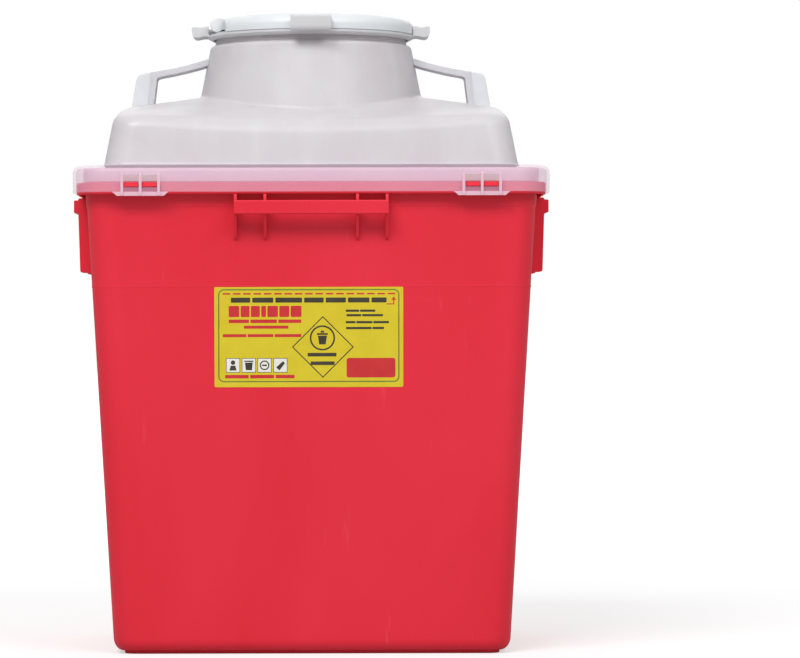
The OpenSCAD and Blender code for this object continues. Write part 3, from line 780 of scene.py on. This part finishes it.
def lid_rings():
    """The lid's whole section, and the first and last of its rings that belong to the dome."""
    rings = [skirt_ring(158.2, SKIRT_LOW)] + [skirt_ring(SKIRT_OUT, z) for z in (307.2, 313, 319.4)]
    for a in (10, 25, 40, 55, 70, 80, 90):
        across, up = turned(5, math.radians(a))
        rings.append(skirt_ring(153.5 + across, 319.7 + up))
    rings += [skirt_ring(149, SHELF, 18.9), skirt_ring(144, SHELF, 18.9)]
    rings += [dome_foot(e, z) for e, z in ((-2.2, SHELF), (-1.1, 324.95), (-0.3, 325.6), (0.15, 326.4))]
    dome_start = len(rings) - 2
    rings += dome_rings(0, 327.6, NECK_TOP, 2.4)
    for a in (25, 45, 65, 90):
        across, up = turned(2.5, math.radians(a))
        rings.append(neck_ring(67 + across, NECK_TOP + up))
    spigot_out = [(65.9, 411.5), (65.5, 411.9), (65.5, 412.5), (65.9, 412.8), (66.1, 413.2), (65.9, 413.6)]
    spigot_out += [(65.5, 413.9), (65.5, 417.8), (65.1, 418.2)]
    spigot_in = [(63.7, 418.2), (63.3, 417.8), (63.3, 409.6), (63.9, 408.9), (66.2, 408.5), (67.3, 407.6)]
    rings += [neck_ring(r, z) for r, z in spigot_out + spigot_in]
    rings += dome_rings(DOME_WALL, 324.5, 406.5, 3)[::-1]
    dome_end = len(rings)
    rings += [dome_foot(e, z) for e, z in ((1.9, 323.6), (1.6, 323.1), (1.0, SHELF_UNDER))]
    rings += [skirt_ring(144, SHELF_UNDER, 17), skirt_ring(149, SHELF_UNDER, 17)]
    for a in (90, 70, 50, 30, 10):
        across, up = turned(3, math.radians(a))
        rings.append(skirt_ring(153.5 + across, 319.9 + up))
    rings += [skirt_ring(SKIRT_IN, 313), skirt_ring(SKIRT_IN, 307.2), skirt_ring(156.8, SKIRT_LOW)]
    return rings, dome_start, dome_end


def window_cutter():
    """Blocks through the front and rear of the skirt, two for each clip."""
    bm = bmesh.new()
    for clip in CLIPS:
        for off in WINDOWS:
            for low, high in ((-135, -125), (125, 135)):
                prism(bm, box_shape(clip + off - 5, clip + off + 5, low, high), "z", 309.9, 318.0)
    bmesh.ops.recalc_face_normals(bm, faces=bm.faces)
    bm.transform(Matrix.Scale(0.001, 4))
    mesh = bpy.data.meshes.new("windows")
    bm.to_mesh(mesh)
    bm.free()
    cutter = bpy.data.objects.new("windows", mesh)
    scene.collection.objects.link(cutter)
    return cutter


def make_lid_shell():
    """Skirt, shelf, dome, neck and spigot as one skin, with the clip windows cut through it."""
    rings, dome_start, dome_end = lid_rings()
    bm = loft(rings, wrap=True, band=lambda k: 0 if dome_start <= k < dome_end else 1)
    cutter = window_cutter()
    hides = ("lid_skirt", "lid_dome", "neck_cone", "neck_spigot", "neck_bead")
    # The skirt and shelf take the pink skirt material, painted red light
    shell = piece("lid_shell", bm, "lid", [MILKY, SKIRT_PAINTED_RED_LIGHT], hides)
    shell.modifiers.clear()
    cut = shell.modifiers.new("windows", "BOOLEAN")
    cut.operation = "DIFFERENCE"
    cut.solver = "EXACT"
    cut.object = cutter
    bpy.context.view_layer.update()
    graph = bpy.context.evaluated_depsgraph_get()
    made = bpy.data.meshes.new_from_object(shell.evaluated_get(graph))
    shell.modifiers.clear()
    shell.data = made
    made.name = "lid_shell"
    made.shade_smooth()
    made.set_sharp_from_angle(angle=SHARP)
    shell.modifiers.new("normals", "WEIGHTED_NORMAL").keep_sharp = True
    bpy.data.objects.remove(cutter)


def make_beads():
    """Four short beads on the spigot that hold the closure ring down."""
    bm = bmesh.new()
    for a in BEADS:
        profile = [(65.3, 416.6), (66.4, 416.6), (66.6, 416.8), (66.6, 417.4), (65.3, 417.9)]
        arc_block(bm, profile, a, BEAD_SPAN)
    piece("spigot_locking_beads", bm, "lid", [MILKY])


def make_clips():
    """What the clips add to the skirt: a tongue below its edge and three upright ribs each."""
    low = 304.2
    tongues = bmesh.new()
    for clip in CLIPS:
        tongue = [(-15.5, low), (15.5, low), (18.6, 306.95), (-18.6, 306.95)]
        prism(tongues, [(clip + x, z) for x, z in tongue], "y", -130.85, -128.95)
    mirrored(tongues, (1, -1, 1))
    hides = ("snap_clips_front", "snap_clips_rear")
    # The tongues and the clip ribs are painted pink, red light from the tub
    piece("clip_tongues", tongues, "lid", [CLIP_PAINTED_RED_LIGHT], hides, bevel=0.2)
    ribs = bmesh.new()
    back, face = -130.6, -131.7
    section = [(back, low), (-131.4, low), (face, 304.8), (face, 318.7), (-131.3, 319.5), (back, 319.5)]
    for clip in CLIPS:
        for off in (-12.1, 0, 12.1):
            prism(ribs, section, "x", clip + off - 0.95, clip + off + 0.95)
    mirrored(ribs, (1, -1, 1))
    piece("clip_ribs", ribs, "lid", [CLIP_PAINTED_RED_LIGHT], bevel=0.25)


def make_channel():
    """The two walls under the shelf: one stands on the rim, the other plugs into the tub's mouth."""
    bm = bmesh.new()
    top = 323.0
    seat = ((151.3, top, 16.6), (151.3, 314.1, 16.6), (151.0, 313.8, 16.3))
    seat += ((149.6, 313.8, 14.9), (149.3, 314.1, 14.6), (149.3, top, 14.6))
    plug = ((145.9, top, 12), (145.9, 302.0, 12), (145.3, 300.0, 11.4))
    plug += ((144.3, 300.0, 10.4), (143.9, 300.8, 10), (143.9, top, 10))
    for profile in (seat, plug):
        loft([skirt_ring(*p) for p in profile], wrap=True, bm=bm)
    piece("lid_channel_walls", bm, "lid", [WALLS], ("lid_seat_ring", "lid_plug_lip"))


def make_dome_rib(name, side):
    """An upright plate inside the dome, close under its roof, below a handle's post."""
    bm = bmesh.new()
    place, half, foot = 107.2, 13, 347
    section = [(-half, foot), (half, foot)]
    section += [(y, roof(107, y) - 1) for y in (half, 6, 0, -6, -half)]
    prism(bm, section, "x", side * place - 1, side * place + 1)
    # The rib plate takes the greyer material, painted shade
    piece(f"dome_rib_{name}_plate", bm, "lid", [GRIP_PAINTED_SHADE], (f"dome_rib_{name}",), bevel=0.3)


def make_handle(name, side):
    """A strap from the neck, along the top and down the post's inner face, and the post's outer box."""
    strap = bmesh.new()
    root = 352         # both go this far into the dome's roof
    top = [(69.5, 402.8), (71.6, 402.2), (82, 399.0), (94, 396.1), (106.2, 393.9), (110.6, 393.3)]
    inside = [(110.4, 388.6), (112.4, 371.3), (112.9, root), (108.4, root)]
    back = [(108.3, 371.3), (107.9, 374.5)] + smooth_line([(106.5, 385.6), (106.1, 389.6), (102.6, 390.5)])
    under = [(94, 392.1), (82, 394.9), (70.9, 397.9)]
    prism(strap, smooth_line(top) + inside + back + smooth_line(under), "y", -13, 13)
    bmesh.ops.scale(strap, vec=(side, 1, 1), verts=strap.verts)
    # The strap takes the greyer material, painted shade
    piece(f"handle_{name}", strap, "lid", [GRIP_PAINTED_SHADE], (f"handle_{name}_bar",), bevel=0.5)
    # The post is set back a little from the strap's edges
    post = bmesh.new()
    outer = [(109.8, 393.3)] + smooth_line([(112.5, 393.1), (119.4, 391.9), (121.0, 384), (123, 372)], 3)
    inner = [(123.6, root), (109.8, root), (109.6, 371.3), (109.2, 380)]
    prism(post, outer + inner, "y", -12.6, 12.6)
    bmesh.ops.scale(post, vec=(side, 1, 1), verts=post.verts)
    hides = (f"handle_{name}_post",)
    # The post takes the lighter material, painted light
    piece(f"handle_post_{name}", post, "lid", [POST_PAINTED_LIGHT], hides, bevel=0.6)


make_lid_shell()
make_beads()
make_clips()
make_channel()
for side_name, side_sign in (("left", -1), ("right", 1)):
    make_dome_rib(side_name, side_sign)
for side_name, side_sign in (("left", -1), ("right", 1)):
    make_handle(side_name, side_sign)

# ---------------------------------------------------------------- closure ring


def make_ring():
    """The ring over the spigot, with a catch inside for each bead."""
    low = 415.4
    outside = [(67.2, low), (67.9, low), (68.2, 415.6), (70.8, 416.95), (71.1, 417.3), (71.1, 418.4)]
    top = [(70.8, 418.7), (68.9, 418.7), (68.6, 419.0), (68.6, 419.5), (68.3, 419.8), (59.5, 419.8)]
    inside = [(59.2, 419.5), (59.2, 418.8), (59.5, 418.5), (66.6, 418.5), (67.0, 418.1), (67.0, 415.6)]
    bm = loft([circle(r, z) for r, z in outside + top + inside], wrap=True)
    for a in BEADS:
        arc_block(bm, [(65.8, low), (67.4, low), (67.4, 416.3), (65.8, 416.3)], a, BEAD_SPAN)
    # The ring takes the greyer material, painted shade
    piece("closure_ring_body", bm, "closure_ring", [RING_PAINTED_SHADE], ("closure_ring",))


def make_lug(name, turn, top):
    """A finger lug: hollowed round the ring at its root, dished on top and eased at its tip."""
    half, steps = 13.75, 12
    rings = []
    for i in range(steps + 1):
        y = -half + 2 * half * i / steps
        root, crest = (math.sqrt(r * r - y * y) for r in (69.8, 71.5))
        under = [(root, 417.55), (73.0, 417.9), (75.5, 417.5), (77.5, 417.05), (79.2, 417.0), (80.5, 417.6)]
        tip = [(81.3, 418.6), (81.8, 420.4), (82.0, top - 1.9), (81.7, top - 1.2), (80.9, top - 0.85)]
        over = [(78.6, top - 1.0), (76.4, top - 1.5), (74.2, top - 1.0), (crest + 0.9, top - 0.4)]
        back = [(crest + 0.3, top - 0.6), (crest, top - 1.2), (crest, 419.0), (root, 418.6)]
        rings.append([(x, y, z) for x, z in under + tip + over + back])
    bm = loft(rings)
    bm.transform(Matrix.Rotation(math.radians(turn), 4, "Z"))
    hides = (f"ring_lug_{name}",)
    # The lug takes the greyer material, painted shade
    piece(f"finger_lug_{name}", bm, "closure_ring", [RING_PAINTED_SHADE], hides, bevel=0.45)


HINGE_X = -64.2
HINGE_Z = 425.0
BARREL_R = 4.9


def hinge_circle(r, y, steps):
    angles = [2 * math.pi * i / steps for i in range(steps)]
    return [(HINGE_X + r * math.cos(a), y, HINGE_Z + r * math.sin(a)) for a in angles]


def knuckle(bm, y0, y1):
    """A length of hinge barrel with eased ends."""
    near = [(2.6, y0), (0.7, y0), (0.2, y0 + 0.2), (0, y0 + 0.7)]
    far = [(0, y1 - 0.7), (0.2, y1 - 0.2), (0.7, y1), (2.6, y1)]
    loft([hinge_circle(BARREL_R - inset, y, 48) for inset, y in near + far], bm=bm)


def make_ring_knuckle():
    """The middle knuckle, its saddle on the ring and the bridge from there to the left lug."""
    bm = bmesh.new()
    knuckle(bm, -9, 9)
    saddle = [(-4.6, 419.6), (4.6, 419.6), (4.6, 424.6), (3.4, 422.4), (0, 421.4), (-3.4, 422.4)]
    saddle += [(-4.6, 424.6)]
    prism(bm, [(HINGE_X + x, z) for x, z in saddle], "y", -8.8, 8.8)
    bridge = [(-73.4, 419.2), (-68.2, 419.2), (-68.2, 422.4), (-70.4, 423.4), (-73.4, 423.8)]
    prism(bm, bridge, "y", -8.6, 8.6)
    piece("hinge_knuckle_middle", bm, "closure_ring", [RING_PAINTED_SHADE], ("ring_hinge_knuckle",))


make_ring()
SIDE_LUG_TOP = 425.4
END_LUG_TOP = 428.4
make_lug("right", 0, SIDE_LUG_TOP)
make_lug("rear", 90, END_LUG_TOP)
make_lug("left", 180, SIDE_LUG_TOP)
make_lug("front", 270, END_LUG_TOP)
make_ring_knuckle()

# ---------------------------------------------------------------- flip cap

CAP_TOP = 430.0
CAP_UNDER = 428.0


def make_cap_disc():
    """A disc with a very shallow recess on top and a rounded band, cut straight where the hinge is."""
    face = [(10, 429.5), (40, 429.5), (52.4, 429.5), (53.2, 429.6), (53.8, 429.9), (54.6, CAP_TOP)]
    face += [(60, CAP_TOP), (63.6, CAP_TOP)]
    for a in (12, 24, 36, 48, 60, 72, 82, 90):
        rad = math.radians(a)
        face.append((63.6 + 7.5 * math.sin(rad), 422.5 + 7.5 * math.cos(rad)))
    band = [(71.1, 419.35), (70.8, 419.0), (69.4, 419.0), (69.1, 419.3), (69.1, 422.6), (68.6, 424.6)]
    under = [(67.2, 426.3), (65.4, 427.5), (63.4, CAP_UNDER), (10, CAP_UNDER)]
    bm = loft([circle(r, z, 180) for r, z in face + band + under])
    every = bm.verts[:] + bm.edges[:] + bm.faces[:]
    straight = {"plane_co": (-58.5, 0, 0), "plane_no": (-1, 0, 0), "clear_outer": True}
    cut = bmesh.ops.bisect_plane(bm, geom=every, **straight)
    edges = [g for g in cut["geom_cut"] if isinstance(g, bmesh.types.BMEdge)]
    bmesh.ops.holes_fill(bm, edges=edges)
    piece("flip_cap_disc", bm, "cap", [CAP], ("flip_cap",))


def make_cap_plug():
    """The ring under the disc that plugs the opening."""
    profile = [(58.4, 428.2), (58.4, 421.3), (58.0, 420.5), (57.4, 420.5), (57.0, 420.9), (57.0, 428.2)]
    bm = loft([circle(r, z) for r, z in profile], wrap=True)
    piece("cap_plug", bm, "cap", [CAP], ("cap_plug_ring",))


def make_cap_hinge():
    """The two outer knuckles with their curved arms, and the pin through all three."""
    knuckles = bmesh.new()
    outside = [(2.2, 421.9), (5.4, 421.9), (7.2, 424.0), (7.6, 428.4), (1.0, 429.8)]
    inside = [(0.2, 429.4), (2.4, 428.6), (3.9, 426.4), (4.2, 424.2)]
    arm = [(HINGE_X + x, z) for x, z in outside + inside]
    for low, high in ((-24, -9.3), (9.3, 24)):
        knuckle(knuckles, low, high)
        prism(knuckles, arm, "y", low + 0.2, high - 0.2)
    piece("cap_hinge_knuckles", knuckles, "cap", [CAP], ("cap_knuckles",))
    profile = [(0.4, -23), (1.4, -23), (1.75, -22.6), (1.75, 22.6), (1.4, 23), (0.4, 23)]
    pin = loft([hinge_circle(r, y, 32) for r, y in profile])
    piece("cap_pin", pin, "cap", [CAP], ("cap_hinge_pin",))


make_cap_disc()
make_cap_plug()
make_cap_hinge()

# ---------------------------------------------------------------- floor

floor_mesh = bpy.data.meshes.new("floor")
floor_mesh.from_pydata([(-14, -10, 0), (14, -10, 0), (14, 18, 0), (-14, 18, 0)], [], [(0, 1, 2, 3)])
floor_mesh.materials.append(make_floor())
floor = bpy.data.objects.new("floor", floor_mesh)
scene.collection.objects.link(floor)
